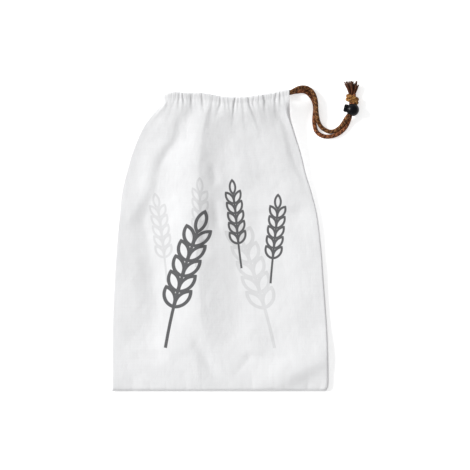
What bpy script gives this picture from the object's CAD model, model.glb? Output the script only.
"""Looks of the cotton bread bag: gathered cloth, braided drawstring, ball toggle, knot and frayed ends.

Metres, +Z up, in the CAD's own frame. The bag's outline, the cords' routes and the toggle's sizes follow the
part's source; the cloth lies lower than its solid in the middle and has finer folds.
"""
from collections import namedtuple
from math import cos, pi, radians, sin

import bmesh
import bpy
import numpy as np
from mathutils import Matrix, Vector


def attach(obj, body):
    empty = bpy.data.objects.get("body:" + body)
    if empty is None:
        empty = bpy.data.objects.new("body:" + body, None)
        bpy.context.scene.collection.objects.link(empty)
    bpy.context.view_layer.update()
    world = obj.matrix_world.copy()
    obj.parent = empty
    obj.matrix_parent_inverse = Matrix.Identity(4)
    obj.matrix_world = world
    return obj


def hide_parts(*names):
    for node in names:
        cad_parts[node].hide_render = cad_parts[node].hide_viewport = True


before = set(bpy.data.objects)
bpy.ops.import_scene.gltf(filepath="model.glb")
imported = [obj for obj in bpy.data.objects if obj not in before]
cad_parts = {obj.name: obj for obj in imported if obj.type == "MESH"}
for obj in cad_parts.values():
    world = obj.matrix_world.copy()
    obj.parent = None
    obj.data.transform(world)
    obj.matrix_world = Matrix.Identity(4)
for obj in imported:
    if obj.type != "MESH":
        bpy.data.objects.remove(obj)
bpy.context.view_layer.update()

MM = 0.001

# The photograph's frame: what its middle shows, how wide it is there, and how far off the camera stands
VIEW_CENTRE = (20.5 * MM, 7.06 * MM)
VIEW_WIDTH = 651 * MM
CAMERA_HEIGHT = 3.0
SENSOR_WIDTH = 36.0

# The cloth as it is seen, thinner than its solid, and its flat size with and without the tunnel
CLOTH = 0.5 * MM
SEAM_PARTING = 0.3 * MM
BOTTOM_EDGE_Y = -208.6 * MM
CLOTH_WIDTH = 300 * MM
FLAT_BODY_LENGTH = 400 * MM

# The ring of cloth round the cord at the mouth
CORD_RADIUS = 2.75 * MM
TUNNEL_RADIUS = 3.25 * MM
RING_LEFT_X = -79.0 * MM
RING_RIGHT_X = 95.3 * MM
BACK_CORD_Z = 6.1 * MM
FRONT_CORD_Z = 21.1 * MM
RING_Z = (BACK_CORD_Z + FRONT_CORD_Z) / 2
RING_RADIUS = (FRONT_CORD_Z - BACK_CORD_Z) / 2
TUNNEL_DEPTH = 7.2 * MM
STITCH_SPREAD = 0.9 * MM
STITCH_FLARE = 4.0 * MM
FLARE_SHARE = 0.08
STITCH_OUT = {1: 2.6 * MM, -1: 2.7 * MM}

# The crest in which the gathered cloth stands up on the ring: in front (1) and behind (-1), at places of the
# tunnel's section, and its fine wrinkles, whose waves are counted in mm
CREST = {1: 1.15 * MM, -1: 0.9 * MM}
CREST_LOWEST = -0.1 * MM
CREST_AT_STITCH = 1.0
CREST_ON_SIDE = 0.9
CREST_NEAR_TOP = 0.97
CREST_INSIDE = 0.30
CREST_AT_INNER_STITCH = 0.1
CREST_TURN = 0.35
EDGE_SCALLOP = 0.36
HEM_LEAN = 0.22
HEM_LEAN_WAVE = 0.23
HEM_SIDE_ALONG = 0.55
HEM_SIDE_OUT = 0.97
HEM_ARC_STEPS = 12
WRINKLE_HEIGHT = 0.11 * MM
WRINKLE_WAVE = 2.1
WRINKLE_WANDER = 1.2
WRINKLE_WANDER_WAVE = 0.31

# Outline of the lying bag, seen from above
OUTLINE = np.array([
    (-209, -150.3, 146.5), (-203, -150.2, 149.4), (-190, -149.9, 150.2), (-140, -149.8, 149.0),
    (-100, -149.2, 146.5), (-55, -147.1, 143.2), (-10, -144.3, 139.8), (35, -140.1, 134.2),
    (65, -137.0, 126.8), (90, -131.2, 119.0), (120, -122.6, 111.6), (150, -110.2, 102.2),
    (170, -99.2, 96.6), (190, -86.2, 95.3), (210, -78.0, 95.3),
]) * MM

# Along the bag: the seams' height, the front's rise, its bow and the width of its rounded edge
LIFT = np.array([
    (-209, 1.2, 0.5, 0.0, 1.6), (-206, 1.2, 2.1, 0.1, 1.4), (-201, 1.2, 2.7, 0.3, 1.4),
    (-190, 1.2, 3.3, 0.7, 1.4), (-170, 1.2, 3.9, 1.2, 1.4), (-120, 1.2, 4.7, 1.6, 1.4),
    (-50, 1.2, 5.2, 2.0, 1.5), (20, 1.4, 5.6, 2.4, 1.6), (80, 2.6, 6.2, 3.0, 1.7),
    (130, 6.0, 7.2, 2.6, 1.9), (165, 10.0, 8.8, 1.4, 2.6), (190, 13.6, 9.2, 0.0, 4.0),
    (210, 13.6, 9.2, 0.0, 4.0),
]) * MM

# The cord's line inside the tunnel, seen from above
MOUTH = np.array([
    (-79, 195.9), (-72, 199.4), (-62, 200.5), (-44, 199.3), (-28, 199.5), (-10, 196.8), (6, 193.9),
    (32, 193.8), (48, 195.8), (62, 198.0), (77, 200.4), (88, 203.2), (96, 203.4),
]) * MM

# The front's pleats: place along the mouth, depth, half width, reach down the bag and drift, in mm
Pleat = namedtuple("Pleat", "x depth width reach drift")
FRONT_PLEATS = [Pleat(*row) for row in (
    (-72.6, 2.4, 1.8, 12, -1), (-67.2, 0.9, 1.3, 7, -1), (-61.8, 1.7, 2.4, 24, -9),
    (-56.5, 3.2, 1.7, 11, -1), (-50.1, 3.9, 1.6, 10, 0), (-44.4, 1.8, 2.6, 46, -2),
    (-39.2, 5.0, 2.3, 13, 0), (-33.8, 1.2, 1.3, 18, 3), (-29.6, 0.8, 1.2, 6, 0),
    (-24.2, 3.9, 1.9, 12, 1), (-18.2, 1.0, 1.3, 8, -1), (-11.0, 1.8, 2.2, 28, -3),
    (-5.0, 1.4, 1.3, 9, 0), (0.4, 3.4, 1.6, 12, -4), (7.2, 1.3, 1.3, 8, 1), (12.4, 1.5, 1.4, 17, 2),
    (19.1, 4.8, 1.4, 17, -1), (24.4, 1.9, 1.3, 10, 0), (31.2, 1.8, 1.9, 30, 3), (39.9, 4.2, 1.4, 24, 9),
    (44.8, 2.4, 1.3, 14, 4), (53.0, 1.4, 1.8, 18, 4), (61.6, 4.8, 2.0, 12, 0), (65.4, 1.7, 3.0, 34, 10),
    (70.0, 1.0, 1.3, 7, 1), (75.6, 3.7, 1.8, 16, 1), (82.7, 3.2, 1.4, 9, 0), (88.4, 1.2, 1.4, 14, 1),
)]

# How the pleats spread, fade and drift down the bag, how their two sides differ and how deep they look
PLEAT_WIDENING = 0.55
PLEAT_SHARPNESS = 1.6
PLEAT_FADING = 1.4
PLEAT_SHARE = 0.26
PLEAT_LEFT = 0.85
PLEAT_RIGHT = 1.5
PLEAT_FULL_DEPTH = 1.2 * MM
DRIFT_LIMIT = 1.5
CALM_EDGE = 0.04
HEM_SOIL = 0.5

# The back's pleats and edges, a guess; the pleats' measures vary round a middle, in mm
Varied = namedtuple("Varied", "middle change step")
BACK_SHIFT = Varied(0, 1.6, 2.4)
BACK_DEPTH = Varied(2.1, 0.9, 1.3)
BACK_WIDTH = Varied(1.7, 0.4, 3.1)
BACK_REACH = Varied(13, 6, 1.7)
BACK_PLEAT_COUNT = 26
BACK_PLEAT_REACH = 34 * MM
BACK_PLEAT_DROP = 0.8 * MM
BACK_EDGE_WIDTH = 9.2 * MM
BACK_EDGE_SLOPE = 3.0

# Where the body meets the tunnel, the puff below it, and the height that lets folds show in full
HEM_BLEND_START = 0.90
PUFF_HEIGHT = 0.3 * MM
PUFF_PLACE = 9 * MM
PUFF_LENGTH = 8 * MM
FOLD_FULL_HEIGHT = 4.5 * MM

# Long creases that run down the front, in mm: up the bag, place, depth (less than 0 is a ridge), and half
# width on the left and on the right
CREASES = [np.array(rows) * MM for rows in (
    [(-204, -32, 0.0, 40, 16), (-185, -32, -0.8, 45, 16), (-150, -30, -1.4, 50, 16),
     (-131, -24, -1.7, 52, 17), (-100, -28, -2.8, 44, 19), (-60, -30, -3.6, 42, 20),
     (0, -30, -3.8, 43, 21), (60, -30, -3.5, 46, 19), (110, -29, -2.7, 44, 15), (150, -24, -2.0, 22, 10),
     (180, -20, -1.0, 10, 6), (190, -19, 0.0, 10, 6)],
    [(-185, 28, 0.0, 36, 90), (-150, 28, 2.0, 38, 90), (-130, 28, 3.2, 38, 95), (-100, 28, 4.6, 38, 100),
     (-60, 28, 5.3, 38, 100), (0, 27, 5.0, 38, 100), (60, 22, 4.2, 36, 95), (110, 16, 2.8, 30, 75),
     (150, 10, 1.2, 22, 50), (176, 6, 0.0, 16, 30)],
    [(-152, -100, 0.0, 20, 50), (-125, -86, 2.2, 26, 66), (-98, -84, 3.8, 28, 78),
     (-50, -89, 4.6, 26, 90), (0, -97, 4.4, 22, 84), (25, -102, 3.8, 18, 68), (46, -97, 2.6, 13, 50),
     (67, -87, 2.0, 11, 42), (86, -84, 2.2, 11, 36), (103, -80, 2.5, 11, 30), (120, -71, 2.6, 11, 24),
     (137, -60, 2.0, 10, 18), (155, -55, 1.2, 9, 12), (176, -52, 0.0, 6, 8)],
    [(70, 120, 0.0, 8, 18), (89, 114, 0.8, 7, 18), (105, 105, 1.0, 7, 18), (122, 99, 1.1, 6, 16),
     (139, 95, 1.1, 6, 14), (155, 90, 1.1, 6, 10), (172, 84, 0.9, 6, 8), (188, 79, 0.0, 6, 6)],
)]

# How sharply a crease and the right side of a ridge fall away, and how far a fold runs on past its line
CREASE_ROUND = 2.0
RIDGE_ROUND = 1.25
FOLD_END = 0.65

# Short folds of the front, in mm: depth, and half width on the left and on the right of the line's run
Fold = namedtuple("Fold", "x0 y0 x1 y1 depth left right")
FRONT_FOLDS = [Fold(*row) for row in (
    (-9, 98, -7, 84, 0.8, 6, 6), (-7, 46, -4, 26, 1.2, 7, 8), (-22, 4, -22, -14, 0.8, 4, 6),
    (58, 34, 104, 36, 1.4, 18, 9), (-30, -146, -14, -174, 1.0, 8, 9), (-112, -160, -86, -161, 0.6, 6, 5),
    (22, -184, 40, -163, 0.45, 4, 5), (40, -163, 91, -162, 0.5, 5, 7),
    (66, -204, 142, -165, -2.4, 13, 26),
)]

# The bottom edge: its rolled seam and the small puckers above it, placed in mm
BOTTOM_ROLL = 2.1 * MM
BOTTOM_ROLL_LENGTH = 1.3 * MM
BOTTOM_ROLL_FADE = 60 * MM
ROLL_END_WIDTH = 3.0 * MM
BOTTOM_PUCKERS = [-121, -97, -74, -47, -24, 12, 44, 75, 90, 121, 138]
PUCKER_DEPTH = 0.3 * MM
PUCKER_UNEVEN = 0.35
PUCKER_STEP = 2.3
PUCKER_WIDTH = 2.6 * MM
PUCKER_REACH = 11 * MM
PUCKER_START = 3 * MM

# The closed sides: the doubled cloth's shade on the left and the line of the seam on the right
ALLOWANCE_WIDTH = 12 * MM
ALLOWANCE_SHADE = 0.3
SIDE_LINE_FROM_EDGE = 3.4 * MM
SIDE_LINE_DEPTH = 0.7 * MM
SIDE_LINE_WIDTH = 0.9 * MM
SIDE_LINE_START = 30 * MM
SIDE_LINE_FADE = 90 * MM

# Soft unevenness of the whole cloth
RIPPLE_LENGTHS = (62 * MM, 30 * MM, 15 * MM)
RIPPLE_HEIGHTS = (0.35 * MM, 0.10 * MM, 0.04 * MM)
RIPPLE_SEED = 1.3
RIPPLE_WAVES = 9
RIPPLE_TURN = 2.4
RIPPLE_SHORTEST = 0.75
RIPPLE_LENGTHENING = 0.09
RIPPLE_PHASE = 1.7

# How finely the cloth is cut up: its columns lie closer at the sides, its rows at the bottom and the mouth
FRONT_COLUMNS = 226
FRONT_ROWS = 150
BACK_COLUMNS = 170
BACK_ROWS = 90
COLUMN_CROWDING = 0.2
ROW_CROWDING = 1.35
BOTTOM_ROWS = 8
BOTTOM_ROW_STEP = 0.0022

# Routes of the two free strands, in mm, from the tunnel's end to the ball and into its hole
LEG_A = np.array([
    (95.6, 203.4, 21.1), (97.6, 203.7, 20.9), (102.0, 206.2, 18.7), (107.2, 209.2, 14.2),
    (113.4, 210.9, 9.2), (119.9, 210.3, 5.9), (125.2, 207.2, 5.3), (129.1, 202.1, 7.0),
    (131.4, 195.8, 8.3), (132.5, 188.8, 8.7), (132.9, 180.7, 8.6), (133.9, 171.6, 7.7),
    (136.0, 163.1, 5.0), (140.1, 156.3, 3.1), (145.9, 152.0, 2.9), (152.2, 149.9, 2.9),
    (159.3, 151.4, 2.9), (165.9, 156.0, 3.2), (170.3, 161.6, 5.2), (173.2, 166.7, 8.2),
    (176.1, 170.8, 10.7), (180.2, 176.5, 10.2),
]) * MM
LEG_B = np.array([
    (95.6, 203.4, 6.1), (97.6, 203.6, 5.9), (102.2, 204.9, 4.4), (107.4, 205.5, 3.3),
    (113.7, 206.2, 2.9), (119.7, 204.5, 2.9), (125.1, 199.6, 2.9), (128.8, 193.9, 2.9),
    (130.9, 186.8, 2.9), (131.3, 179.6, 2.9), (130.5, 171.8, 2.9), (130.2, 164.3, 2.9),
    (130.9, 158.1, 2.9), (132.6, 151.8, 2.9), (136.4, 147.1, 2.9), (141.9, 144.0, 2.9),
    (147.9, 143.2, 2.9), (154.6, 143.8, 2.9), (161.4, 146.0, 2.9), (167.9, 150.2, 2.9),
    (173.0, 155.6, 2.9), (176.4, 161.6, 3.4), (178.3, 166.6, 4.9), (179.5, 171.0, 6.6), (180.9, 176.8, 7.6),
]) * MM

# The cord's braid: its skin, its steps, its strands' run and relief, and its squeeze in the ball
CORD_SKIN_RADIUS = 2.9 * MM
ROUTE_STEPS = 24
RUN_STEPS = 200
RUN_TURN_STEPS = 40
RUN_SHORTER = 0.3 * MM
RUN_THINNER = 0.1 * MM
BRAID_SIDES = 32
BRAID_STEP = 0.45 * MM
BRAID_STRANDS = 8
BRAID_TURN = 12.5 * MM
BRAID_RELIEF = 0.22 * MM
BRAID_MEAN = 0.62
BRAID_DIP = 0.45
HOLE_SQUEEZE_FROM = 7 * MM
HOLE_SQUEEZE = 0.62

# Toggle: ball and push button, in its own frame: X from the button to the ball, Y along the cord hole
TOGGLE_CENTRE = Vector((182.9 * MM, 180.1 * MM, 9.0 * MM))
TOGGLE_TURN = radians(-13)
BALL_RADIUS = 9.0 * MM
BUTTON_RADIUS = 5.4 * MM
BUTTON_OUTER_X = -12.3 * MM
BUTTON_INNER_X = 2.5 * MM
BORE_RADIUS = BUTTON_RADIUS + 0.3 * MM
BORE_END_X = 5.2 * MM
CORD_HOLE_RADIUS = 4.0 * MM
CORD_HOLE_X = -1.5 * MM
BUTTON_TRAVEL = 2.0 * MM

# Profiles in mm: how far the hole's cutter starts outside the ball, the hole's mouth by depth and flare, and
# the button's dished and ringed end by depth and radius, with its rounded edge and its groove
HOLE_START = 0.6
HOLE_CUTTER_END = (2, 2.4)
HOLE_FLARE = [(0, 1.1), (0.7, 0.55), (1.6, 0.15), (2.8, 0)]
BUTTON_END = [(0.42, 0), (0.36, 1.4), (0.2, 2.6), (0.32, 2.9), (0.32, 3.2), (0.05, 3.5)]
BUTTON_EDGE_ROUND = 1.6
BUTTON_GROOVE = [(-8.4, 0), (-8.2, -0.12), (-8.0, 0)]
STEM_CHAMFER = 0.4
BORE_CHAMFER = 0.3
SHARP_EDGE = radians(38)
LATHE_STEPS = 64
CUTTER_STEPS = 40

# Knot and brush
KNOT_CENTRE = Vector((182.6 * MM, 194.6 * MM, 6.2 * MM))
KNOT_STRAND = 2.75 * MM
KNOT_HALF_WIDTH = 6.6 * MM
KNOT_HALF_HEIGHT = 3.3 * MM
KNOT_START = -0.12
KNOT_END = 1.62
KNOT_PITCH = 4.9 * MM
KNOT_LEAN = 0.2
KNOT_END_SHRINK = 0.35
KNOT_SHRINK_START = 0.75
KNOT_STEPS = 150
CORE_ASIDE = 1.5 * MM
CORE_PARTING = 0.9 * MM
CORE_LENGTH = 15 * MM
CORE_RAISED = 0.6 * MM
CORE_DROP = 3.0 * MM
CORE_STEPS = 60
FRAY_ROOT = Vector((182.0 * MM, 200.4 * MM, 5.2 * MM))
HAIR_ON_UNIT_LENGTH = 0.011
LOCK_HALF_WIDTH = 0.55 * MM
BRUSH_SIZES = {"Locks": 34, "Hairs in a lock": 22, "Neck": 4.2 * MM, "Neck height": 3.2 * MM, "Flare": 0.40,
               "Rise": 0.16, "Length": 18.2 * MM}

# The stitches of the tunnel's seam
STITCH_SIZES = {"Pitch": 2.4 * MM, "Length": 1.7 * MM, "Thread": 0.26 * MM}
STITCH_LIFT = 0.12 * MM
SEAM_STEPS = 900

# The cloth's threads, the shade of its creases, and the ink with its faint mirrored print
THREAD_PITCH = 0.48 * MM
CREASE_SHADE = 0.19
INK = (0.098, 0.098, 0.102, 1.0)
INK_EDGE = 0.5 * MM
GHOST_STRENGTH = 0.16

# The printed ears of grain, in mm and degrees, from the flat cloth's lower left corner
EAR_INPUTS = ("Across", "Up", "Foot across", "Foot up", "Lean", "Stalk", "Pitch", "Grains", "Grain length",
              "Grain width", "Line")
EAR_CURL = 0.55
STALK_WIDTH = 0.9
GRAIN_LEAN = radians(33)
GRAIN_REACH = 1.12
Ear = namedtuple("Ear", "foot_across foot_up lean stalk pitch grains grain_length grain_width line")
PRINTED_EARS = [
    Ear(76, 60, 80, 56, 22, 5, 30, 13.5, 4.2),
    Ear(182, 172, 97, 34, 14, 5, 19, 8.6, 2.7),
    Ear(222, 150, 84, 34, 14, 5, 19, 8.6, 2.7),
]

# Colours of the yarns and of the loose fibres, which turn paler between two places along the bag
BraidTone = namedtuple("BraidTone", "dark middle light")
BRAID_TONES = {
    "olive brown braid": BraidTone((0.022, 0.006, 0.002), (0.115, 0.040, 0.012), (0.40, 0.19, 0.070)),
    "copper brown braid": BraidTone((0.030, 0.007, 0.003), (0.165, 0.048, 0.017), (0.47, 0.19, 0.080)),
    "golden brown braid": BraidTone((0.050, 0.016, 0.004), (0.26, 0.105, 0.025), (0.60, 0.33, 0.10)),
}
FIBRE_TONE = BraidTone((0.014, 0.004, 0.002), (0.085, 0.026, 0.011), (0.34, 0.14, 0.07))
FIBRE_TIPS = (210 * MM, 219 * MM)

# The table, which glows a little, and the light
CLEAR_WHITE = (1.0, 1.0, 1.0, 1.0)
TABLE_REACH = 6.0
TABLE_GLOW = {"lower part": 0.38, "upper part": 0.48}
GLOW_CHANGE = (-60 * MM, 90 * MM)
ROOM_LIGHT = 0.525
Light = namedtuple("Light", "name place size power")
SOFT_BOX = Light("soft box at the upper left", (-4.9, 1.7, 2.9), 2.2, 440.0)


def smooth_step(value):
    """Ease from 0 to 1."""
    value = np.clip(value, 0.0, 1.0)
    return value * value * (3 - 2 * value)


def hump(value, middle, width):
    """A round hump of one unit's height."""
    return np.exp(-((value - middle) / width) ** 2)


def lengths_along(points):
    """Lengths from the first point of a line to each of its points."""
    steps = np.linalg.norm(np.diff(points, axis=0), axis=1)
    return np.concatenate([[0], np.cumsum(steps)])


def read_table(table, at):
    """Read a table's columns at places along its first column: a smooth curve through its rows."""
    places = table[:, 0]
    at = np.clip(at, places[0], places[-1])
    start = np.clip(np.searchsorted(places, at, side="right") - 1, 0, len(places) - 2)
    end = start + 1
    before = np.maximum(start - 1, 0)
    after = np.minimum(start + 2, len(places) - 1)
    span = places[end] - places[start]
    share = (at - places[start]) / span
    cubic = 2 * share ** 3 - 3 * share ** 2
    columns = []
    for value in table.T[1:]:
        leave = (value[end] - value[before]) / (places[end] - places[before]) * span
        reach = (value[after] - value[start]) / (places[after] - places[start]) * span
        line = value[start] * (1 + cubic) - value[end] * cubic
        leaving = leave * (share ** 3 - 2 * share ** 2 + share)
        columns.append(line + leaving + reach * (share ** 3 - share ** 2))
    return columns


def ripples(x, y, length, seed):
    """Smooth unevenness of about one unit, made of waves in many directions."""
    total = np.zeros_like(x)
    for index in range(RIPPLE_WAVES):
        angle = seed + index * RIPPLE_TURN
        wave = 2 * pi / (length * (RIPPLE_SHORTEST + RIPPLE_LENGTHENING * index))
        total += np.sin((x * cos(angle) + y * sin(angle)) * wave + seed * (index + 1) * RIPPLE_PHASE)
    return total / np.sqrt(RIPPLE_WAVES)


def section_points(u, left, right, rise, edge, right_turn):
    """Points of cross-sections by their length: up over the left edge, flat, and down at the right edge."""
    arc = (rise + edge) / 2 * pi / 2
    flat = right - left - edge * (1 + right_turn)
    along = u * (arc * (1 + right_turn) + flat)
    first = np.clip(along / arc, 0, 1) * pi / 2
    across = np.clip((along - arc) / flat, 0, 1)
    last = np.clip((along - arc - flat) / arc, 0, 1) * pi / 2 * right_turn
    x = left + edge * (1 - np.cos(first)) + across * flat + edge * np.sin(last)
    height = rise * (np.sin(first) - (1 - np.cos(last)))
    out_x = np.where(along < arc, -np.cos(first), np.sin(last))
    out_z = np.where(along < arc, np.sin(first), np.cos(last))
    return x, height, out_x, out_z, across


def ring_points(u):
    """The cord's ring at shares of its length from the left end."""
    return section_points(u, RING_LEFT_X, RING_RIGHT_X, RING_RADIUS, RING_RADIUS, 0.0)


def pleat_depth(pleats, x, below):
    """Depth of the pleats at places across the bag, some way below the stitch line."""
    below = np.maximum(below, 0.0)
    depth = np.zeros(np.broadcast(x, below).shape)
    for pleat in pleats:
        reach = pleat.reach * MM
        place = pleat.x * MM + pleat.drift * MM * np.minimum(below / reach, DRIFT_LIMIT)
        side_width = np.where(x > place, PLEAT_RIGHT, PLEAT_LEFT) * pleat.width * MM
        across = np.abs(x - place) / (side_width * (1 + PLEAT_WIDENING * below / reach))
        faded = np.exp(-(below / reach) ** PLEAT_FADING)
        depth += pleat.depth * MM * np.exp(-across ** PLEAT_SHARPNESS) * faded
    return depth * PLEAT_SHARE


def fold_depth(folds, x, y):
    """Depth of the soft folds at points of the bag, seen from above."""
    depth = np.zeros_like(x)
    for fold in folds:
        run_x, run_y = (fold.x1 - fold.x0) * MM, (fold.y1 - fold.y0) * MM
        from_x, from_y = x - fold.x0 * MM, y - fold.y0 * MM
        length = np.hypot(run_x, run_y)
        along = (from_x * run_x + from_y * run_y) / length
        aside = (run_x * from_y - run_y * from_x) / length
        width = np.where(aside > 0, fold.right, fold.left) * MM
        end_width = (fold.left + fold.right) * FOLD_END * MM
        beyond = np.maximum(np.maximum(-along, along - length), 0.0) / end_width
        depth += fold.depth * MM * np.exp(-(aside / width) ** 2 - beyond ** 2)
    return depth


def crease_depth(creases, x, y):
    """Depth of the long creases at points of the bag, seen from above."""
    depth = np.zeros_like(x)
    for crease in creases:
        place, deep, left, right = read_table(crease, y)
        away = np.abs(x - place) / np.where(x > place, right, left)
        edge = np.where((deep < 0) & (x > place), RIDGE_ROUND, CREASE_ROUND)
        depth += deep * np.exp(-away ** edge)
    return depth


def back_pleats():
    """The back's pleats, spread unevenly along the mouth."""
    width = (RING_RIGHT_X - RING_LEFT_X) / MM
    pleats = []
    for index in range(BACK_PLEAT_COUNT):
        shift, *sizes = (measure.middle + measure.change * sin(index * measure.step)
                         for measure in (BACK_SHIFT, BACK_DEPTH, BACK_WIDTH, BACK_REACH))
        x = RING_LEFT_X / MM + (index + 0.5) * width / BACK_PLEAT_COUNT + shift
        pleats.append(Pleat(x, *sizes, 0))
    return pleats


def bottom_detail(x, y, calm, ends):
    """What the bottom edge adds to the front: its rolled seam and the small puckers above it."""
    above = y - BOTTOM_EDGE_Y
    roll = BOTTOM_ROLL * (1 - np.exp(-above / BOTTOM_ROLL_LENGTH))
    puckers = np.zeros_like(x)
    for index, place in enumerate(BOTTOM_PUCKERS):
        depth = PUCKER_DEPTH * (1 + PUCKER_UNEVEN * sin(index * PUCKER_STEP))
        puckers += depth * hump(x, place * MM, PUCKER_WIDTH) * np.exp(-above / PUCKER_REACH)
    puckers = puckers * smooth_step(above / PUCKER_START) * calm
    return roll * np.exp(-above / BOTTOM_ROLL_FADE) * ends - puckers


def body_points(u, up, side, pleats, folds, shift=0.0):
    """Points of a panel between the bottom edge and the stitch line; side is 1 in front and -1 behind.

    shift is how far the tunnel pulls the cloth sideways near the stitch line.
    """
    ring_x = ring_points(u)[0]
    stitch = read_table(MOUTH, ring_x)[0] - TUNNEL_DEPTH
    y = BOTTOM_EDGE_Y + up * (stitch - BOTTOM_EDGE_Y)
    below = stitch - y
    left, right = read_table(OUTLINE, y)
    seam, rise, bow, edge = read_table(LIFT, y)
    seam = seam + side * (CLOTH + SEAM_PARTING) / 2
    if side < 0:
        rise = np.maximum(seam - CLOTH / 2, 0.0)
        edge = np.minimum(edge, BACK_EDGE_WIDTH + BACK_EDGE_SLOPE * rise)
    x, height, _, _, across = section_points(u, left, right, rise, edge, 1.0)
    calm = smooth_step(u / CALM_EDGE) * smooth_step((1 - u) / CALM_EDGE)
    pleated = pleat_depth(pleats, x + shift, below)
    if side < 0:
        calm = calm * smooth_step(1 - below / BACK_PLEAT_REACH)
        z = np.maximum(seam - height + pleated * calm - BACK_PLEAT_DROP * calm, CLOTH / 2)
        return x, y, z, pleated * calm / PLEAT_FULL_DEPTH
    height = height + bow * 4 * across * (1 - across)
    full = smooth_step(height / FOLD_FULL_HEIGHT)
    uneven = sum(high * ripples(x, y, length, RIPPLE_SEED + place)
                 for place, (length, high) in enumerate(zip(RIPPLE_LENGTHS, RIPPLE_HEIGHTS)))
    puff = PUFF_HEIGHT * hump(below, PUFF_PLACE, PUFF_LENGTH)
    from_right = (1 - u) * CLOTH_WIDTH
    side_line = SIDE_LINE_DEPTH * hump(from_right, SIDE_LINE_FROM_EDGE, SIDE_LINE_WIDTH)
    side_line = side_line * smooth_step((below - SIDE_LINE_START) / SIDE_LINE_FADE)
    folded = fold_depth(folds, x, y) + crease_depth(CREASES, x, y)
    height = height - pleated * calm - folded * full + uneven * full + puff * calm
    ends = smooth_step(np.minimum(u, 1 - u) * CLOTH_WIDTH / ROLL_END_WIDTH)
    height = height + bottom_detail(x, y, calm, ends) - side_line
    doubled = ALLOWANCE_SHADE * (1 - smooth_step((u * CLOTH_WIDTH - ALLOWANCE_WIDTH) / (2 * ALLOWANCE_WIDTH)))
    return x, y, seam + np.maximum(height, 0.0), pleated * calm / PLEAT_FULL_DEPTH + doubled


def hem_profile(side):
    """The tunnel's section from the stitch line over the cord and back: along, out, crest, stitched."""
    stitch_out = STITCH_OUT[side]
    side_along, side_out = -HEM_SIDE_ALONG * TUNNEL_DEPTH, HEM_SIDE_OUT * TUNNEL_RADIUS
    half = STITCH_SPREAD / 2
    points = [(-TUNNEL_DEPTH, stitch_out + half, CREST_AT_STITCH, 1.0)]
    for share in (0.25, 0.5, 0.75):
        ease = smooth_step(share)
        along = -TUNNEL_DEPTH + share * (side_along + TUNNEL_DEPTH)
        out = stitch_out + half + ease * (side_out - stitch_out - half)
        points.append((along, out, CREST_AT_STITCH + ease * (CREST_ON_SIDE - CREST_AT_STITCH), 1 - share))
    points.append((side_along, side_out, CREST_ON_SIDE, 0.0))
    points.append((side_along / 2, TUNNEL_RADIUS, CREST_NEAR_TOP, 0.0))
    for step in range(HEM_ARC_STEPS + 1):
        angle = pi / 2 - pi * step / HEM_ARC_STEPS
        share = CREST_INSIDE + (1 - CREST_INSIDE) * max(sin(angle + CREST_TURN), 0.0)
        points.append((TUNNEL_RADIUS * cos(angle), TUNNEL_RADIUS * sin(angle), share, 0.0))
    points.append((side_along, -side_out, CREST_INSIDE, 0.5))
    points.append((-TUNNEL_DEPTH, stitch_out - half, CREST_AT_INNER_STITCH, 1.0))
    return np.array(points)


def hem_points(u, profile, side, pleats):
    """Points of the tunnel, pushed away from the cord where the gathered cloth stands up in a crest."""
    along, out, crest, stitched = (column[:, None] for column in profile.T)
    x, height, out_x, out_z, _ = ring_points(u)
    cord_y = read_table(MOUTH, x)[0]
    lean = (along + TUNNEL_DEPTH) * HEM_LEAN * np.sin(x / MM * HEM_LEAN_WAVE)
    depth = pleat_depth(pleats, x + lean, np.zeros_like(u))
    swell = np.clip(CREST[side] - depth, CREST_LOWEST, None)
    wander = WRINKLE_WANDER * np.sin(x / MM * WRINKLE_WANDER_WAVE)
    wrinkles = WRINKLE_HEIGHT * np.sin(x / MM * WRINKLE_WAVE + wander)
    swell = (swell + wrinkles * (1 - stitched)) * crest
    soiled = HEM_SOIL * (1 - stitched) + depth / PLEAT_FULL_DEPTH * crest
    reach = np.hypot(np.maximum(along, 0.0), out)
    calm = smooth_step(u / CALM_EDGE)
    flare = STITCH_FLARE * stitched * (1 - smooth_step(u / FLARE_SHARE))
    far_out = out + out / reach * swell * calm
    far_along = along + np.maximum(along, 0.0) / reach * swell * calm * EDGE_SCALLOP
    z = RING_Z + side * (SEAM_PARTING / 2 + height + out_z * far_out)
    return x + out_x * (far_out + flare), cord_y + far_along, z, soiled * calm


def panel_rows(count):
    """Heights of the body's rows as shares: close at the bottom edge, and closer again towards the mouth."""
    low = np.arange(BOTTOM_ROWS) * BOTTOM_ROW_STEP
    start = BOTTOM_ROWS * BOTTOM_ROW_STEP
    rest = 1 - np.linspace(1, 0, count - BOTTOM_ROWS) ** ROW_CROWDING
    return np.concatenate([low, start + rest * (1 - start)])


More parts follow.
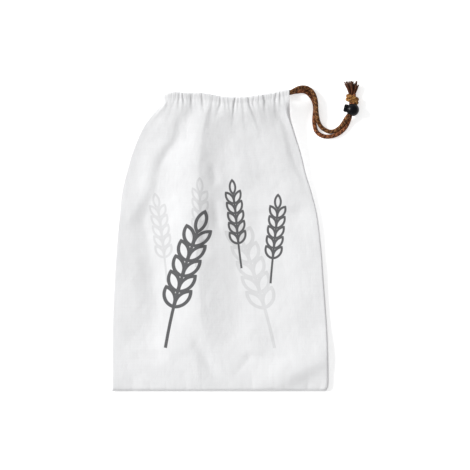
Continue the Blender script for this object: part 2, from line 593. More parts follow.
def panel_surface(side, columns, body_rows, pleats, folds):
    """All points of one panel and where they lie on the flat cloth."""
    share = np.linspace(0, 1, columns)
    u = (share - COLUMN_CROWDING * np.sin(2 * pi * share) / (2 * pi))[None, :]
    rows = panel_rows(body_rows)
    up = rows[:, None] + 0 * u
    wide = u + 0 * up
    profile = hem_profile(side)
    hem = hem_points(u, profile, side, pleats)
    blend = smooth_step((up - HEM_BLEND_START) / (1 - HEM_BLEND_START))
    pull = hem[0][0] - body_points(u, np.ones_like(u), side, pleats, folds)[0]
    ending = body_points(u, np.ones_like(u), side, pleats, folds, pull)
    lying = body_points(wide, up, side, pleats, folds, pull * blend)
    body = [part + (top[0] - last[0]) * blend for part, top, last in zip(lying[:3], hem, ending)]
    points = np.stack([np.vstack([part, top[1:]]) for part, top in zip(body, hem)], axis=-1)
    gathered = np.vstack([lying[3], hem[3][1:]])
    points[..., 2] = np.maximum(points[..., 2], CLOTH / 2)
    along = np.concatenate([rows * FLAT_BODY_LENGTH, FLAT_BODY_LENGTH + lengths_along(profile[:, :2])[1:]])
    across = u[0] if side > 0 else 1 - u[0]
    flat = np.stack(np.meshgrid(across * CLOTH_WIDTH, along), axis=-1)
    return points, flat, gathered


def grid_mesh(name, points, flat, closed=False, turned=False):
    """A mesh over rows and columns of points; closed joins the last column to the first and adds caps."""
    rows, columns = points.shape[:2]
    wide = columns if closed else columns - 1
    row, column = (part.ravel() for part in np.meshgrid(np.arange(rows - 1), np.arange(wide), indexing="ij"))
    after = (column + 1) % columns
    corner_rows = np.stack([row, row, row + 1, row + 1], axis=1)
    corner_columns = np.stack([column, after, after, column], axis=1)
    flat_columns = np.stack([column, column + 1, column + 1, column], axis=1)
    if turned:
        corner_rows, corner_columns = corner_rows[:, ::-1], corner_columns[:, ::-1]
        flat_columns = flat_columns[:, ::-1]
    faces = (corner_rows * columns + corner_columns).tolist()
    spots = flat[corner_rows, flat_columns].reshape(-1, 2)
    if closed:
        first = list(range(columns))
        last = [(rows - 1) * columns + place for place in range(columns)]
        faces += [last, first[::-1]] if not turned else [last[::-1], first]
    mesh = bpy.data.meshes.new(name)
    mesh.from_pydata(points.reshape(-1, 3).tolist(), [], faces)
    layer = mesh.uv_layers.new(name="flat")
    every = np.zeros((len(mesh.loops), 2))
    every[:len(spots)] = spots
    layer.uv.foreach_set("vector", every.ravel())
    mesh.shade_smooth()
    return mesh


def add_object(name, data):
    """Put a mesh, camera or light into the scene under a name."""
    new = bpy.data.objects.new(name, data)
    bpy.context.scene.collection.objects.link(new)
    return new


def add_piece(name, mesh, material):
    """Put a mesh into the scene under a name, with its material."""
    if material:
        mesh.materials.append(material)
    return add_object(name, mesh)


def settle(piece):
    """Turn a piece's modifiers into a plain mesh."""
    graph = bpy.context.evaluated_depsgraph_get()
    mesh = bpy.data.meshes.new_from_object(piece.evaluated_get(graph))
    old = piece.data
    piece.modifiers.clear()
    piece.data = mesh
    bpy.data.meshes.remove(old)
    mesh.name = piece.name
    return piece


def route_points(stops, step):
    """Even points along a smooth curve through a route's stops."""
    rows = np.column_stack([np.arange(len(stops) - 1, dtype=float), stops[1:]])
    fine = np.column_stack(read_table(rows, np.linspace(0, len(rows) - 1, (len(rows) - 1) * ROUTE_STEPS)))
    fine = np.vstack([stops[:1], fine])
    lengths = lengths_along(fine)
    wanted = np.linspace(0, lengths[-1], max(round(lengths[-1] / step), 2))
    return np.column_stack([np.interp(wanted, lengths, fine[:, part]) for part in range(3)]), lengths[-1]


def carried_frames(points):
    """Directions across a path, carried along it without twisting."""
    ahead = np.gradient(points, axis=0)
    ahead /= np.linalg.norm(ahead, axis=1)[:, None]
    side = np.cross(ahead[0], (0, 0, 1.0))
    sides = []
    for direction in ahead:
        side = side - direction * np.dot(side, direction)
        side = side / np.linalg.norm(side)
        sides.append(side)
    sides = np.array(sides)
    return sides, np.cross(ahead, sides)


def braid_height(angle_share, length):
    """Height of a braid's crossing strands, from 0 to 1, over a cord's skin."""
    climb = length / BRAID_TURN * BRAID_STRANDS
    one = angle_share * BRAID_STRANDS + climb
    other = angle_share * BRAID_STRANDS - climb
    over = (np.floor(one) + np.floor(other)) % 2
    top = np.where(over < 0.5, one, other)
    crossing = np.where(over < 0.5, other, one)
    across = 1 - (2 * (top - np.floor(top)) - 1) ** 2
    onward = 1 - (2 * (crossing - np.floor(crossing)) - 1) ** 2
    return np.sqrt(across) * (BRAID_DIP + (1 - BRAID_DIP) * onward)


def braided_tube(name, points, radius, material, squeeze=None):
    """A braided cord's skin along a path; squeeze gives its radius a factor at each point."""
    sides, ups = carried_frames(points)
    lengths = lengths_along(points)
    share = np.arange(BRAID_SIDES) / BRAID_SIDES
    relief = BRAID_RELIEF * (braid_height(share[None, :], lengths[:, None]) - BRAID_MEAN)
    reach = radius + relief
    if squeeze is not None:
        reach = reach * squeeze[:, None]
    angle = share * 2 * pi
    skin = points[:, None] + reach[..., None] * (
        np.cos(angle)[None, :, None] * sides[:, None] + np.sin(angle)[None, :, None] * ups[:, None])
    skin[..., 2] = np.maximum(skin[..., 2], 0.05 * MM)
    flat = np.stack(np.meshgrid(np.arange(BRAID_SIDES + 1) / BRAID_SIDES, lengths), axis=-1)
    return add_piece(name, grid_mesh(name, skin, flat, closed=True), material)


class Number:
    """A number that comes out of a node: arithmetic with it adds the nodes that work the result out."""

    def __init__(self, recipe, socket):
        self.recipe = recipe
        self.socket = socket

    def __add__(self, other):
        return self.recipe.maths("ADD", self, other)

    def __sub__(self, other):
        return self.recipe.maths("SUBTRACT", self, other)

    def __rsub__(self, other):
        return self.recipe.maths("SUBTRACT", other, self)

    def __mul__(self, other):
        return self.recipe.maths("MULTIPLY", self, other)

    def __truediv__(self, other):
        return self.recipe.maths("DIVIDE", self, other)

    def __mod__(self, other):
        return self.recipe.maths("FLOORED_MODULO", self, other)

    def __abs__(self):
        return self.recipe.maths("ABSOLUTE", self)


class Recipe:
    """A node tree, with short ways to add and join its nodes."""

    def __init__(self, tree):
        self.tree = tree

    def feed(self, socket, value):
        """Give a socket a value, or join it to another node's output."""
        if isinstance(value, Number):
            value = value.socket
        if isinstance(value, bpy.types.NodeSocket):
            self.tree.links.new(value, socket)
        else:
            socket.default_value = value

    def add(self, kind, inputs=None, **settings):
        """Add a node with its settings and inputs."""
        node = self.tree.nodes.new(kind)
        for key, value in settings.items():
            setattr(node, key, value)
        for key, value in (inputs or {}).items():
            self.feed(node.inputs[key], value)
        return node

    def maths(self, operation, *values):
        """Add one step of arithmetic."""
        node = self.add("ShaderNodeMath", dict(enumerate(values)), operation=operation)
        return Number(self, node.outputs[0])

    def mix(self, share, low, high):
        """Blend two colours."""
        return self.add("ShaderNodeMix", {"Factor": share, 6: low, 7: high}, data_type="RGBA").outputs[2]

    def scaled(self, colour, share):
        """Make a colour brighter or darker."""
        return self.add("ShaderNodeVectorMath", {0: colour, "Scale": share}, operation="SCALE").outputs[0]

    def span(self, value, low, high, new_low, new_high):
        """Carry a value from one range to another."""
        inputs = {0: value, 1: low, 2: high, 3: new_low, 4: new_high}
        return Number(self, self.add("ShaderNodeMapRange", inputs).outputs[0])

    def noise(self, place, scale, detail=2.0, roughness=0.5):
        """Noise round 0.5."""
        inputs = {"Vector": place, "Scale": scale, "Detail": detail, "Roughness": roughness}
        return Number(self, self.add("ShaderNodeTexNoise", inputs).outputs["Fac"])

    def bump(self, height, distance, strength, before=None):
        """Relief from a height, on top of another relief."""
        node = self.add("ShaderNodeBump", {"Height": height, "Distance": distance, "Strength": strength})
        if before is not None:
            self.feed(node.inputs["Normal"], before)
        return node.outputs[0]

    def flat(self):
        """The place on the flat cloth, or a cord's angle share and length."""
        return self.add("ShaderNodeUVMap", uv_map="flat").outputs[0]

    def place(self):
        """The place in the CAD's frame."""
        return self.add("ShaderNodeTexCoord").outputs["Object"]

    def stretched(self, place, scale, turn=(0.0, 0.0, 0.0)):
        """A place with its axes stretched and turned."""
        return self.add("ShaderNodeMapping", {0: place, "Scale": scale, "Rotation": turn}).outputs[0]

    def axes(self, place):
        """The three numbers of a place."""
        return [Number(self, socket) for socket in self.add("ShaderNodeSeparateXYZ", {0: place}).outputs]

    def vector(self, x, y, z):
        """A vector of three numbers."""
        return self.add("ShaderNodeCombineXYZ", {0: x, 1: y, 2: z}).outputs[0]


def new_material(name, roughness):
    """A material's recipe and a way to set its shader's inputs."""
    material = bpy.data.materials.new(name)
    material.use_nodes = True
    inputs = material.node_tree.nodes["Principled BSDF"].inputs
    inputs["Roughness"].default_value = roughness
    recipe = Recipe(material.node_tree)

    def finish(settings):
        for label, value in settings.items():
            recipe.feed(inputs[label], value)

    return recipe, finish


def new_tree(kind, name, inputs, outputs):
    """A node tree with named inputs and outputs; gives it, its recipe, its inputs and its outputs."""
    tree = bpy.data.node_groups.new(name, kind)
    for way, sockets in (("INPUT", inputs), ("OUTPUT", outputs)):
        for label, sort in sockets.items():
            tree.interface.new_socket(label, in_out=way, socket_type="NodeSocket" + sort)
    recipe = Recipe(tree)
    given = {socket.name: Number(recipe, socket) for socket in recipe.add("NodeGroupInput").outputs}
    return tree, recipe, given, recipe.add("NodeGroupOutput").inputs


def shader_group(name, inputs, outputs):
    """A shader group of numbers: its recipe, inputs and outputs."""
    inputs, outputs = (dict.fromkeys(labels, "Float") for labels in (inputs, outputs))
    return new_tree("ShaderNodeTree", name, inputs, outputs)[1:]


def leaf_edge(recipe, along, aside, half_length, half_width):
    """Distance from a leaf shape's edge, less than 0 inside it."""
    radius = (half_length * half_length + half_width * half_width) / (half_width * 2.0)
    off = abs(aside) + (radius - half_width)
    return recipe.maths("SQRT", along * along + off * off) - radius


def turned(recipe, x, y, angle):
    """A place turned into a frame whose first axis points along the angle."""
    cosine = recipe.maths("COSINE", angle)
    sine = recipe.maths("SINE", angle)
    return x * cosine + y * sine, y * cosine - x * sine


def ear_group():
    """An ear of grain in outline: a stalk with paired grains and one grain at its tip."""
    recipe, given, result = shader_group("ear of grain", EAR_INPUTS, ("Ink",))
    across = given["Across"] - given["Foot across"]
    along, aside = turned(recipe, across, given["Up"] - given["Foot up"], given["Lean"])
    aside = aside + along * along * EAR_CURL
    mirrored = abs(aside)
    half_line = given["Line"] * 0.5
    half_length = given["Grain length"] * 0.5
    half_width = given["Grain width"] * 0.5
    whole = given["Stalk"] + given["Pitch"] * given["Grains"]
    on_ear = along - given["Stalk"]
    step = recipe.maths("FLOOR", on_ear / given["Pitch"])
    tip = leaf_edge(recipe, along - (whole + half_length), aside, half_length, half_width)
    nearest = abs(tip) - half_line
    for shift in (0.0, 1.0):
        which = recipe.maths("MAXIMUM", step - shift, 0.0)
        which = recipe.maths("MINIMUM", which, given["Grains"] - 1.0)
        grain_x = on_ear - which * given["Pitch"] - half_length * (cos(GRAIN_LEAN) * GRAIN_REACH)
        grain_y = mirrored - half_length * (sin(GRAIN_LEAN) * GRAIN_REACH)
        grain = turned(recipe, grain_x, grain_y, GRAIN_LEAN)
        ring = abs(leaf_edge(recipe, *grain, half_length, half_width)) - half_line
        nearest = recipe.maths("MINIMUM", nearest, ring)
    stalk = mirrored - half_line * STALK_WIDTH
    ends = recipe.maths("MAXIMUM", along * -1.0, along - whole)
    nearest = recipe.maths("MINIMUM", nearest, recipe.maths("MAXIMUM", stalk, ends))
    recipe.feed(result["Ink"], recipe.span(nearest, 0.0, INK_EDGE, 1.0, 0.0))


def add_print(recipe, across, up):
    """The printed ears' ink at a place of the cloth."""
    ink = 0.0
    for ear in PRINTED_EARS:
        sizes = [ear.foot_across * MM, ear.foot_up * MM, radians(ear.lean), ear.stalk * MM, ear.pitch * MM,
                 ear.grains, ear.grain_length * MM, ear.grain_width * MM, ear.line * MM]
        node = recipe.add("ShaderNodeGroup", node_tree=bpy.data.node_groups["ear of grain"])
        for label, value in zip(EAR_INPUTS, [across, up] + sizes):
            recipe.feed(node.inputs[label], value)
        ink = recipe.maths("MAXIMUM", ink, node.outputs["Ink"])
    return ink


def round_back(recipe, counted):
    """A thread's round back, 0 at its edges and 1 on top, at a place counted in threads."""
    centred = recipe.maths("FRACT", counted) * 2.0 - 1.0
    return 1.0 - centred * centred


def weave_group():
    """A plain weave's height from a place on the flat cloth, in threads."""
    recipe, given, result = shader_group("plain weave", ("Across", "Up"), ("Height",))
    across, up = (round_back(recipe, given[label]) for label in ("Across", "Up"))
    warp = (recipe.maths("FLOOR", given["Across"]) + recipe.maths("FLOOR", given["Up"])) % 2.0
    warp_high = across * recipe.span(up, 0.0, 1.0, 0.5, 1.0)
    weft_high = up * recipe.span(across, 0.0, 1.0, 0.5, 1.0)
    recipe.feed(result["Height"], warp_high * warp + weft_high * (1.0 - warp))


def cotton_material(name, tint, printed):
    """Plain-woven cotton with uneven threads and, where it is printed, ink that sinks into the weave."""
    recipe, finish = new_material(name, 0.86)
    flat = recipe.flat()
    place = recipe.place()
    across, up, _ = recipe.axes(flat)
    slubs = recipe.noise(recipe.stretched(flat, (900, 12, 1)), 1.0)
    slubs = slubs + recipe.noise(recipe.stretched(flat, (12, 900, 1)), 1.0)
    wander = recipe.span(recipe.noise(flat, 60.0, 2.0), 0.0, 1.0, -1.2, 1.2)
    threads = {"Across": across / THREAD_PITCH + wander, "Up": up / THREAD_PITCH + wander}
    weave = recipe.add("ShaderNodeGroup", threads, node_tree=bpy.data.node_groups["plain weave"])
    weave = weave.outputs["Height"]
    cloudy = recipe.noise(place, 14.0, 4.0, 0.6)
    gathered = recipe.add("ShaderNodeAttribute", attribute_name="gathered").outputs["Fac"]
    bright = recipe.span(cloudy, 0.3, 0.7, -0.012, 0.012) + recipe.span(slubs, 0.7, 1.3, -0.02, 0.02)
    bright = bright + recipe.span(weave, 0.0, 1.0, -0.025, 0.012)
    colour = recipe.scaled(tint, bright + recipe.span(gathered, 0.0, 1.0, 1.0, 1.0 - CREASE_SHADE))
    if printed:
        behind = add_print(recipe, CLOTH_WIDTH - across, up)
        worn = recipe.span(recipe.noise(flat, 1500.0, 2.0), 0.25, 0.5, 0.86, 1.0)
        colour = recipe.mix(behind * GHOST_STRENGTH, colour, INK)
        colour = recipe.mix(add_print(recipe, across, up) * worn, colour, INK)
    crumple = recipe.noise(recipe.stretched(place, (1.0, 0.7, 1.0)), 85.0, 4.0, 0.62)
    relief = recipe.bump(slubs, 0.12 * MM, 0.35, recipe.bump(crumple, 1.2 * MM, 0.35))
    finish({"Base Color": colour, "Roughness": recipe.span(cloudy, 0.3, 0.7, 0.80, 0.93),
            "Sheen Weight": 0.15, "Sheen Roughness": 0.5, "Specular IOR Level": 0.25,
            "Normal": recipe.bump(weave, 0.12 * MM, 0.5, relief)})


def braid_group():
    """A braid's height and the number of the strand on top, from a cord's angle share and length."""
    recipe, given, result = shader_group("braid", ("Angle", "Length"), ("Height", "Strand"))
    climb = given["Length"] * (BRAID_STRANDS / BRAID_TURN)
    round_about = given["Angle"] * float(BRAID_STRANDS)
    one = round_about + climb
    other = round_about - climb
    over = (recipe.maths("FLOOR", one) + recipe.maths("FLOOR", other)) % 2.0
    under = 1.0 - over
    top, crossing = (first * under + second * over for first, second in ((one, other), (other, one)))
    onward = recipe.span(round_back(recipe, crossing), 0, 1, BRAID_DIP, 1.0)
    recipe.feed(result["Height"], recipe.maths("SQRT", round_back(recipe, top)) * onward)
    strand = recipe.maths("FLOOR", top) % float(BRAID_STRANDS)
    recipe.feed(result["Strand"], strand + over * 20.0)


def strand_colour(recipe, picked, heather, tone):
    """Colour of a strand: dark, middle or light by its number, mottled by its own fibres."""
    ramp = recipe.add("ShaderNodeValToRGB")
    stops = ramp.color_ramp.elements
    stops[0].color = (*tone.dark, 1)
    stops[1].color = (*tone.light, 1)
    stops.new(0.48).color = (*tone.middle, 1)
    recipe.feed(ramp.inputs[0], recipe.span(picked * 0.62 + heather * 0.38, 0.18, 0.82, 0.0, 1.0))
    return ramp.outputs[0]


def braid_material(name):
    """Braided drawstring of light and dark brown yarns, each with its own fibres."""
    recipe, finish = new_material(name, 0.8)
    place = recipe.place()
    angle, length, _ = recipe.axes(recipe.flat())
    braid = recipe.add("ShaderNodeGroup", {"Angle": angle, "Length": length},
                       node_tree=bpy.data.node_groups["braid"]).outputs
    picked = recipe.add("ShaderNodeTexWhiteNoise", {"W": braid["Strand"]}, noise_dimensions="1D")
    fibres = recipe.noise(place, 2600.0, 3.0, 0.6)
    heather = fibres * 0.55 + recipe.noise(place, 520.0, 2.0, 0.5) * 0.45
    colour = strand_colour(recipe, Number(recipe, picked.outputs["Value"]), heather, BRAID_TONES[name])
    stranded = recipe.bump(braid["Height"], 0.35 * MM, 0.7)
    finish({"Base Color": recipe.scaled(colour, recipe.span(braid["Height"], 0.0, 0.55, 0.35, 1.0)),
            "Roughness": recipe.span(fibres, 0.3, 0.7, 0.62, 0.9),
            "Sheen Weight": 0.06, "Sheen Roughness": 0.4, "Specular IOR Level": 0.15,
            "Normal": recipe.bump(fibres, 0.12 * MM, 0.6, stranded)})


def fibre_material(name, tone):
    """Loose fibres of the unbraided ends, streaked along the cord and paler at their tips."""
    recipe, finish = new_material(name, 0.85)
    place = recipe.place()
    streaks = recipe.noise(recipe.stretched(place, (1.0, 0.22, 1.0)), 900.0, 2.0, 0.55)
    fine = recipe.noise(place, 3000.0, 2.0)
    tips = recipe.span(recipe.axes(place)[1], *FIBRE_TIPS, 0.0, 0.55)
    finish({"Base Color": recipe.mix(tips, strand_colour(recipe, streaks, fine, tone), (0.16, 0.10, 0.07, 1)),
            "Roughness": recipe.span(fine, 0.3, 0.7, 0.7, 0.95),
            "Sheen Weight": 0.05, "Specular IOR Level": 0.12, "Normal": recipe.bump(fine, 0.08 * MM, 0.5)})


def plastic_material(name):
    """Polished black plastic with fine handling scratches and a little dust in its shine."""
    recipe, finish = new_material(name, 0.13)
    place = recipe.place()
    smear = recipe.noise(place, 180.0, 3.0, 0.6)
    scratches = recipe.noise(recipe.stretched(place, (60, 2200, 60), (0.4, 0.9, 0.7)), 1.0, 2.0)
    dusty = recipe.span(smear, 0.45, 0.75, 0.0, 1.0)
    finish({"Base Color": recipe.mix(dusty, (0.002, 0.002, 0.003, 1), (0.006, 0.006, 0.007, 1)),
            "Roughness": recipe.span(smear, 0.3, 0.75, 0.26, 0.38),
            "Normal": recipe.bump(scratches, 0.01 * MM, 0.25), "Specular IOR Level": 0.14})


def dress(piece, node=None, body="bag"):
    """Let a piece ride on its body, take its slot and stand for its CAD node."""
    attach(piece, body)
    if node:
        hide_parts(node)
    return piece


def squeezed_ends(points):
    """Radius factors that press a cord together where it goes into the ball."""
    lengths = lengths_along(points)
    return HOLE_SQUEEZE + (1 - HOLE_SQUEEZE) * smooth_step((lengths[-1] - lengths) / HOLE_SQUEEZE_FROM)


def add_cords():
    """Both free strands, each on its CAD solid's route, with their paths and lengths."""
    legs = []
    for name, node, stops, tone in (
            ("drawstring_upper_strand", "drawstring_leg_a", LEG_A, "olive brown braid"),
            ("drawstring_lower_strand", "drawstring_leg_b", LEG_B, "copper brown braid")):
        points, length = route_points(stops, BRAID_STEP)
        leg = braided_tube(name, points, CORD_SKIN_RADIUS, bpy.data.materials[tone], squeezed_ends(points))
        legs.append((dress(leg, node), points, length))
    return legs


def run_route():
    """The cord inside both tunnels: in at the front's right end, round the left end, out behind."""
    front_x = np.linspace(RING_RIGHT_X - RUN_SHORTER, RING_LEFT_X + RING_RADIUS, RUN_STEPS)
    angle = np.linspace(pi / 2, 3 * pi / 2, RUN_TURN_STEPS)[1:-1]
    turn_x = RING_LEFT_X + RING_RADIUS + RING_RADIUS * np.cos(angle)
    x = np.concatenate([front_x, turn_x, front_x[::-1]])
    z = np.concatenate([np.full(RUN_STEPS, FRONT_CORD_Z), RING_Z + RING_RADIUS * np.sin(angle),
                        np.full(RUN_STEPS, BACK_CORD_Z)])
    return np.column_stack([x, read_table(MOUTH, x)[0], z])


def add_run():
    """The braided strand inside the tunnels."""
    olive = bpy.data.materials["olive brown braid"]
    run = braided_tube("drawstring_inside", run_route(), CORD_RADIUS - RUN_THINNER, olive)
    dress(run, "drawstring_run")


def add_cloth():
    """Both panels as gathered sheets of cotton."""
    for name, node, side, columns, rows, pleats, folds in (
            ("front_cloth", "front_panel", 1, FRONT_COLUMNS, FRONT_ROWS, FRONT_PLEATS, FRONT_FOLDS),
            ("back_cloth", "back_panel", -1, BACK_COLUMNS, BACK_ROWS, back_pleats(), [])):
        points, flat, gathered = panel_surface(side, columns, rows, pleats, folds)
        mesh = grid_mesh(name, points, flat, turned=side < 0)
        mesh.attributes.new("gathered", "FLOAT", "POINT").data.foreach_set("value", gathered.ravel())
        panel = add_piece(name, mesh, bpy.data.materials["printed cotton"])
        thick = panel.modifiers.new("cloth thickness", "SOLIDIFY")
        thick.thickness = CLOTH
        thick.offset = 0.0
        dress(settle(panel), node)


def turned_piece(name, profile, material, steps=LATHE_STEPS):
    """A piece turned round the toggle's X axis from a profile of (x, radius), given in mm."""
    mesh = bpy.data.meshes.new(name)
    work = bmesh.new()
    verts = [work.verts.new((x * MM, 0, radius * MM)) for x, radius in profile]
    edges = [work.edges.new(pair) for pair in zip(verts, verts[1:])]
    bmesh.ops.spin(work, geom=verts + edges, cent=(0, 0, 0), axis=(1, 0, 0), angle=2 * pi, steps=steps)
    bmesh.ops.remove_doubles(work, verts=work.verts, dist=0.002 * MM)
    bmesh.ops.recalc_face_normals(work, faces=work.faces)
    work.to_mesh(mesh)
    work.free()
    mesh.shade_smooth()
    return add_piece(name, mesh, material)


def arc(centre_x, centre_r, radius, start, end, count):
    """Points of a round in a profile, by degrees from the +X direction."""
    angles = [radians(start + (end - start) * step / (count - 1)) for step in range(count)]
    return [(centre_x + radius * cos(angle), centre_r + radius * sin(angle)) for angle in angles]


def cut_cord_hole(piece, hole_x):
    """Cut a cord hole with rounded mouths through a piece along the toggle's Y."""
    reach = BALL_RADIUS / MM + HOLE_START
    radius = CORD_HOLE_RADIUS / MM
    beyond, wider = HOLE_CUTTER_END
    mouth = [(-reach - beyond, 0), (-reach - beyond, radius + wider)]
    mouth += [(-reach + depth, radius + flare) for depth, flare in HOLE_FLARE]
    profile = mouth + [(-x, r) for x, r in reversed(mouth)]
    cutter = turned_piece("hole cutter", profile, None, CUTTER_STEPS)
    cutter.data.transform(Matrix.Translation((hole_x, 0, 0)) @ Matrix.Rotation(pi / 2, 4, "Z"))
    step = piece.modifiers.new("cord hole", "BOOLEAN")
    step.solver = "EXACT"
    step.object = cutter
    settle(piece)
    bpy.data.objects.remove(cutter)
    piece.data.set_sharp_from_angle(angle=SHARP_EDGE)


def ball_profile():
    """The ball's outside from its right end to the bore's rounded rim, and the bore, in mm."""
    ball, bore, end = BALL_RADIUS / MM, BORE_RADIUS / MM, BORE_END_X / MM
    rim_angle = np.degrees(np.arccos(-np.sqrt(1 - (bore + 0.55) ** 2 / ball ** 2)))
    outside = arc(0, 0, ball, 0, rim_angle, 40)
    rim_x = outside[-1][0]
    rim = arc(rim_x + 0.35, bore + 0.42, 0.45, 165, 235, 5)
    inside = [(rim_x + 0.8, bore), (end - BORE_CHAMFER, bore), (end, bore - BORE_CHAMFER), (end, 0)]
    return outside + rim + inside


def button_profile():
    """The push button's dished and ringed end, its rounded edge and its stem, in mm."""
    outer, inner, radius = BUTTON_OUTER_X / MM, BUTTON_INNER_X / MM, BUTTON_RADIUS / MM
    dished = [(outer + depth, reach) for depth, reach in BUTTON_END]
    edge = arc(outer + BUTTON_EDGE_ROUND, radius - BUTTON_EDGE_ROUND, BUTTON_EDGE_ROUND, 180, 90, 8)
    groove = [(x, radius + depth) for x, depth in BUTTON_GROOVE]
    stem = [(inner - STEM_CHAMFER, radius), (inner, radius - STEM_CHAMFER), (inner, 0)]
    return dished + edge + groove + stem


def add_toggle():
    """The ball and its push button, both turned and then bored for the cords."""
    black = bpy.data.materials["polished black plastic"]
    toggle_frame = Matrix.Translation(TOGGLE_CENTRE) @ Matrix.Rotation(TOGGLE_TURN, 4, "Z")
    pieces = []
    for name, profile, hole_x, node, body in (
            ("toggle_ball", ball_profile(), CORD_HOLE_X, "toggle_barrel", "bag"),
            ("toggle_push_button", button_profile(), CORD_HOLE_X - BUTTON_TRAVEL, "toggle_button", "button")):
        piece = turned_piece(name, profile, black)
        cut_cord_hole(piece, hole_x)
        piece.data.transform(toggle_frame)
        pieces.append(dress(piece, node, body))
    return pieces


def knot_route():
    """The knot's path: turns of cord that lean over the doubled strands."""
    turn = np.linspace(KNOT_START, KNOT_END, KNOT_STEPS)
    middle = (KNOT_START + KNOT_END) / 2
    angle = turn * 2 * pi
    inward = np.abs(turn - middle) / (KNOT_END - middle)
    shrink = 1 - KNOT_END_SHRINK * smooth_step((inward - KNOT_SHRINK_START) / (1 - KNOT_SHRINK_START))
    x = KNOT_HALF_WIDTH * shrink * np.cos(angle)
    z = KNOT_HALF_HEIGHT * shrink * np.sin(angle)
    y = (turn - middle) * KNOT_PITCH - x * KNOT_LEAN
    return np.column_stack([x + KNOT_CENTRE.x, y + KNOT_CENTRE.y, np.maximum(z + KNOT_CENTRE.z, KNOT_STRAND)])


def core_route(side):
    """One of the two strands that go straight up through the knot."""
    share = np.linspace(0, 1, CORE_STEPS)
    x = KNOT_CENTRE.x + side * (CORE_ASIDE + CORE_PARTING * share)
    y = KNOT_CENTRE.y + (share - 0.5) * CORE_LENGTH
    z = KNOT_CENTRE.z + side * CORE_RAISED + (0.5 - share) * CORE_DROP
    return np.column_stack([x, y, z])


def add_knot():
    """The tight knot of both strands."""
    golden = bpy.data.materials["golden brown braid"]
    brown = bpy.data.materials["copper brown braid"]
    pieces = [braided_tube("knotted_cord", knot_route(), KNOT_STRAND, golden)]
    pieces += [braided_tube("knot_strand", core_route(side), KNOT_STRAND, brown) for side in (-1, 1)]
    with bpy.context.temp_override(active_object=pieces[0], selected_editable_objects=pieces):
        bpy.ops.object.join()
    return dress(pieces[0], "cord_knot")


def random_value(recipe, low, high, seed, of=None):
    """A random number for each point, or one for all the points of the same number."""
    node = recipe.add("FunctionNodeRandomValue", {2: low, 3: high, "Seed": seed}, data_type="FLOAT")
    if of is not None:
        recipe.feed(node.inputs["ID"], of)
    return Number(recipe, node.outputs[1])


def growing_tree(name, sizes):
    """A Geometry Nodes tree with named inputs for its sizes."""
    sorts = {label: "Int" if isinstance(value, int) else "Float" for label, value in sizes.items()}
    geometry = {"Geometry": "Geometry"}
    return new_tree("GeometryNodeTree", name, geometry | sorts, geometry)


def place_copies(recipe, result, material, inputs):
    """End a tree: copies on points, made real and given their material."""
    placed = recipe.add("GeometryNodeInstanceOnPoints", inputs)
    real = recipe.add("GeometryNodeRealizeInstances", {0: placed.outputs[0]})
    painted = recipe.add("GeometryNodeSetMaterial", {"Geometry": real.outputs[0], "Material": material})
    recipe.feed(result[0], painted.outputs[0])


def grow(piece, tree, sizes):
    """Run a Geometry Nodes tree on a piece with its sizes, and keep the result as a plain mesh."""
    step = piece.modifiers.new("grow", "NODES")
    step.node_group = tree
    named = {item.name: item.identifier for item in tree.interface.items_tree
             if item.item_type == "SOCKET" and item.in_out == "INPUT"}
    for label, value in sizes.items():
        step[named[label]] = value
    return settle(piece)


def bent_hair(recipe):
    """One tapered hair of unit length, bent a little."""
    line = recipe.add("GeometryNodeCurveQuadraticBezier", {
        "Resolution": 6, "Start": (0, 0, 0), "Middle": (0.06, 0.5, 0.02), "End": (0, 1, 0)})
    place = recipe.add("GeometryNodeSplineParameter").outputs["Factor"]
    tapered = recipe.add("GeometryNodeSetCurveRadius", {
        "Curve": line.outputs[0], "Radius": recipe.span(place, 0.0, 1.0, 1.0, 0.28)})
    ring = recipe.add("GeometryNodeCurvePrimitiveCircle", {"Resolution": 4})
    recipe.feed(ring.inputs["Radius"], HAIR_ON_UNIT_LENGTH)
    return recipe.add("GeometryNodeCurveToMesh", {
        "Curve": tapered.outputs[0], "Profile Curve": ring.outputs[0], "Fill Caps": True}).outputs[0]


def brush_tree(material, sizes):
    """Locks of bent tapered hairs that fan out of the cord's end; the hairs of a lock share its lean."""
    tree, recipe, given, result = growing_tree("brush", sizes)

    def draw(low, high, seed, of=None):
        return random_value(recipe, low, high, seed, of)

    points = recipe.add("GeometryNodePoints", {"Count": given["Locks"] * given["Hairs in a lock"]})
    number = Number(recipe, recipe.add("GeometryNodeInputIndex").outputs[0])
    lock = recipe.maths("FLOOR", number / given["Hairs in a lock"])
    angle = draw(0.0, 2 * pi, 1, lock)
    spread = recipe.maths("SQRT", draw(0.0, 1.0, 2, lock))
    share_x = spread * recipe.maths("COSINE", angle)
    share_z = spread * recipe.maths("SINE", angle)
    root_x = share_x * given["Neck"] + draw(-LOCK_HALF_WIDTH, LOCK_HALF_WIDTH, 3)
    root_z = share_z * given["Neck height"] + draw(-LOCK_HALF_WIDTH, LOCK_HALF_WIDTH, 9)
    recipe.feed(points.inputs["Position"], recipe.vector(root_x, draw(0, 1.5 * MM, 10), root_z))
    lean_x = share_x * given["Flare"] + (draw(-0.15, 0.15, 4, lock) + draw(-0.05, 0.05, 11))
    lean_z = share_z * given["Rise"] + (draw(-0.10, 0.10, 5, lock) + draw(-0.04, 0.04, 12))
    length = given["Length"] * draw(0.66, 1.06, 6, lock) * draw(0.88, 1.04, 13)
    stout = length * draw(0.7, 1.5, 7)
    aim = recipe.add("FunctionNodeAlignRotationToVector", {"Vector": recipe.vector(lean_x, 1.0, lean_z)},
                     axis="Y")
    place_copies(recipe, result, material, {
        "Points": points.outputs[0], "Instance": bent_hair(recipe), "Rotation": aim.outputs[0],
        "Scale": recipe.vector(stout, length, stout)})
    return tree


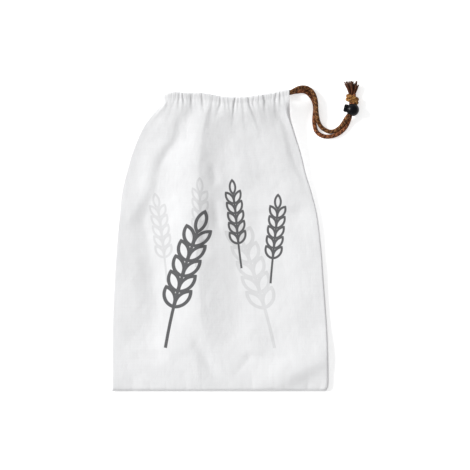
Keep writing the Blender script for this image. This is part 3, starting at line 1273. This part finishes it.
def add_brush():
    """Both frayed ends: a brush of loose fibres."""
    brush = add_piece("frayed_brush", bpy.data.meshes.new("frayed_brush"), None)
    grow(brush, brush_tree(bpy.data.materials["frayed fibres"], BRUSH_SIZES), BRUSH_SIZES)
    brush.data.transform(Matrix.Translation(FRAY_ROOT))
    for vertex in brush.data.vertices:
        vertex.co.z = max(vertex.co.z, 0.1 * MM)
    brush.data.shade_smooth()
    return dress(brush, "frayed_ends")


def stitch_tree(material, sizes):
    """Short rounded stitches at even steps along a line of points."""
    tree, recipe, given, result = growing_tree("stitches", sizes)
    line = recipe.add("GeometryNodeMeshToCurve", {0: given["Geometry"]})
    spaced = recipe.add("GeometryNodeResampleCurve", {"Curve": line.outputs[0], "Length": given["Pitch"]},
                        mode="LENGTH")
    ball = recipe.add("GeometryNodeMeshUVSphere", {"Segments": 6, "Rings": 5, "Radius": 0.5})
    tangent = recipe.add("GeometryNodeInputTangent").outputs[0]
    aim = recipe.add("FunctionNodeAlignRotationToVector", {"Vector": tangent}, axis="X")
    wobble = given["Length"] * random_value(recipe, 0.9, 1.08, 8)
    place_copies(recipe, result, material, {
        "Points": spaced.outputs[0], "Instance": ball.outputs[0], "Rotation": aim.outputs[0],
        "Scale": recipe.vector(wobble, given["Thread"], given["Thread"])})
    return tree


def add_stitches():
    """The seam that closes the tunnel, on the outside of both panels."""
    tree = stitch_tree(bpy.data.materials["sewing thread"], STITCH_SIZES)
    for name, side, pleats in (
            ("front_tunnel_seam", 1, FRONT_PLEATS), ("back_tunnel_seam", -1, back_pleats())):
        u = np.linspace(0.004, 0.996, SEAM_STEPS)[None, :]
        x, y, z, _ = hem_points(u, hem_profile(side)[:1], side, pleats)
        lifted = z + side * (CLOTH / 2 + STITCH_LIFT)
        points = np.stack([x[0], y[0], np.maximum(lifted[0], 0.2 * MM)], axis=-1)
        mesh = bpy.data.meshes.new(name)
        mesh.from_pydata(points.tolist(), [(place, place + 1) for place in range(len(points) - 1)], [])
        seam = grow(add_piece(name, mesh, None), tree, STITCH_SIZES)
        seam.data.shade_smooth()
        dress(seam)


def add_camera():
    """The camera straight above the photograph's middle."""
    data = bpy.data.cameras.new("camera")
    data.sensor_width = SENSOR_WIDTH
    data.lens = SENSOR_WIDTH * CAMERA_HEIGHT / VIEW_WIDTH
    camera = add_object("camera", data)
    camera.location = (*VIEW_CENTRE, CAMERA_HEIGHT)
    bpy.context.scene.camera = camera


def add_table():
    """A white table top, a little brighter in itself than the bag, as behind a photograph's product."""
    mesh = bpy.data.meshes.new("table")
    corners = [(-TABLE_REACH, -TABLE_REACH), (TABLE_REACH, -TABLE_REACH), (TABLE_REACH, TABLE_REACH),
               (-TABLE_REACH, TABLE_REACH)]
    mesh.from_pydata([(x, y, 0) for x, y in corners], [], [(0, 1, 2, 3)])
    recipe, finish = new_material("white table", 0.9)
    up = recipe.axes(recipe.place())[1]
    glow = recipe.span(up, *GLOW_CHANGE, TABLE_GLOW["lower part"], TABLE_GLOW["upper part"])
    finish({"Base Color": (0.97, 0.97, 0.97, 1), "Specular IOR Level": 0.1,
            "Emission Color": CLEAR_WHITE, "Emission Strength": glow})
    add_piece("table", mesh, bpy.data.materials["white table"])


def add_light():
    """Soft studio light from the upper left in a white room."""
    world = bpy.data.worlds.new("soft room")
    bpy.context.scene.world = world
    world.use_nodes = True
    background = world.node_tree.nodes["Background"].inputs
    background["Color"].default_value = CLEAR_WHITE
    background["Strength"].default_value = ROOM_LIGHT
    lamp = bpy.data.lights.new(SOFT_BOX.name, "AREA")
    lamp.shape = "DISK"
    lamp.size = SOFT_BOX.size
    lamp.energy = SOFT_BOX.power
    light = add_object(SOFT_BOX.name, lamp)
    light.location = SOFT_BOX.place
    light.rotation_euler = (-Vector(SOFT_BOX.place)).to_track_quat("-Z", "Y").to_euler()
    bpy.context.scene.view_settings.view_transform = "Standard"


def make_materials():
    """All finishes."""
    weave_group()
    ear_group()
    braid_group()
    cotton_material("printed cotton", (0.770, 0.772, 0.780), True)
    cotton_material("sewing thread", (0.74, 0.74, 0.75), False)
    for name in BRAID_TONES:
        braid_material(name)
    fibre_material("frayed fibres", FIBRE_TONE)
    plastic_material("polished black plastic")


def build():
    """Make every piece of the bag."""
    add_camera()
    make_materials()
    legs = add_cords()
    add_run()
    carried = add_toggle() + [add_knot(), add_brush()]
    add_cloth()
    add_stitches()
    add_table()
    add_light()


build()
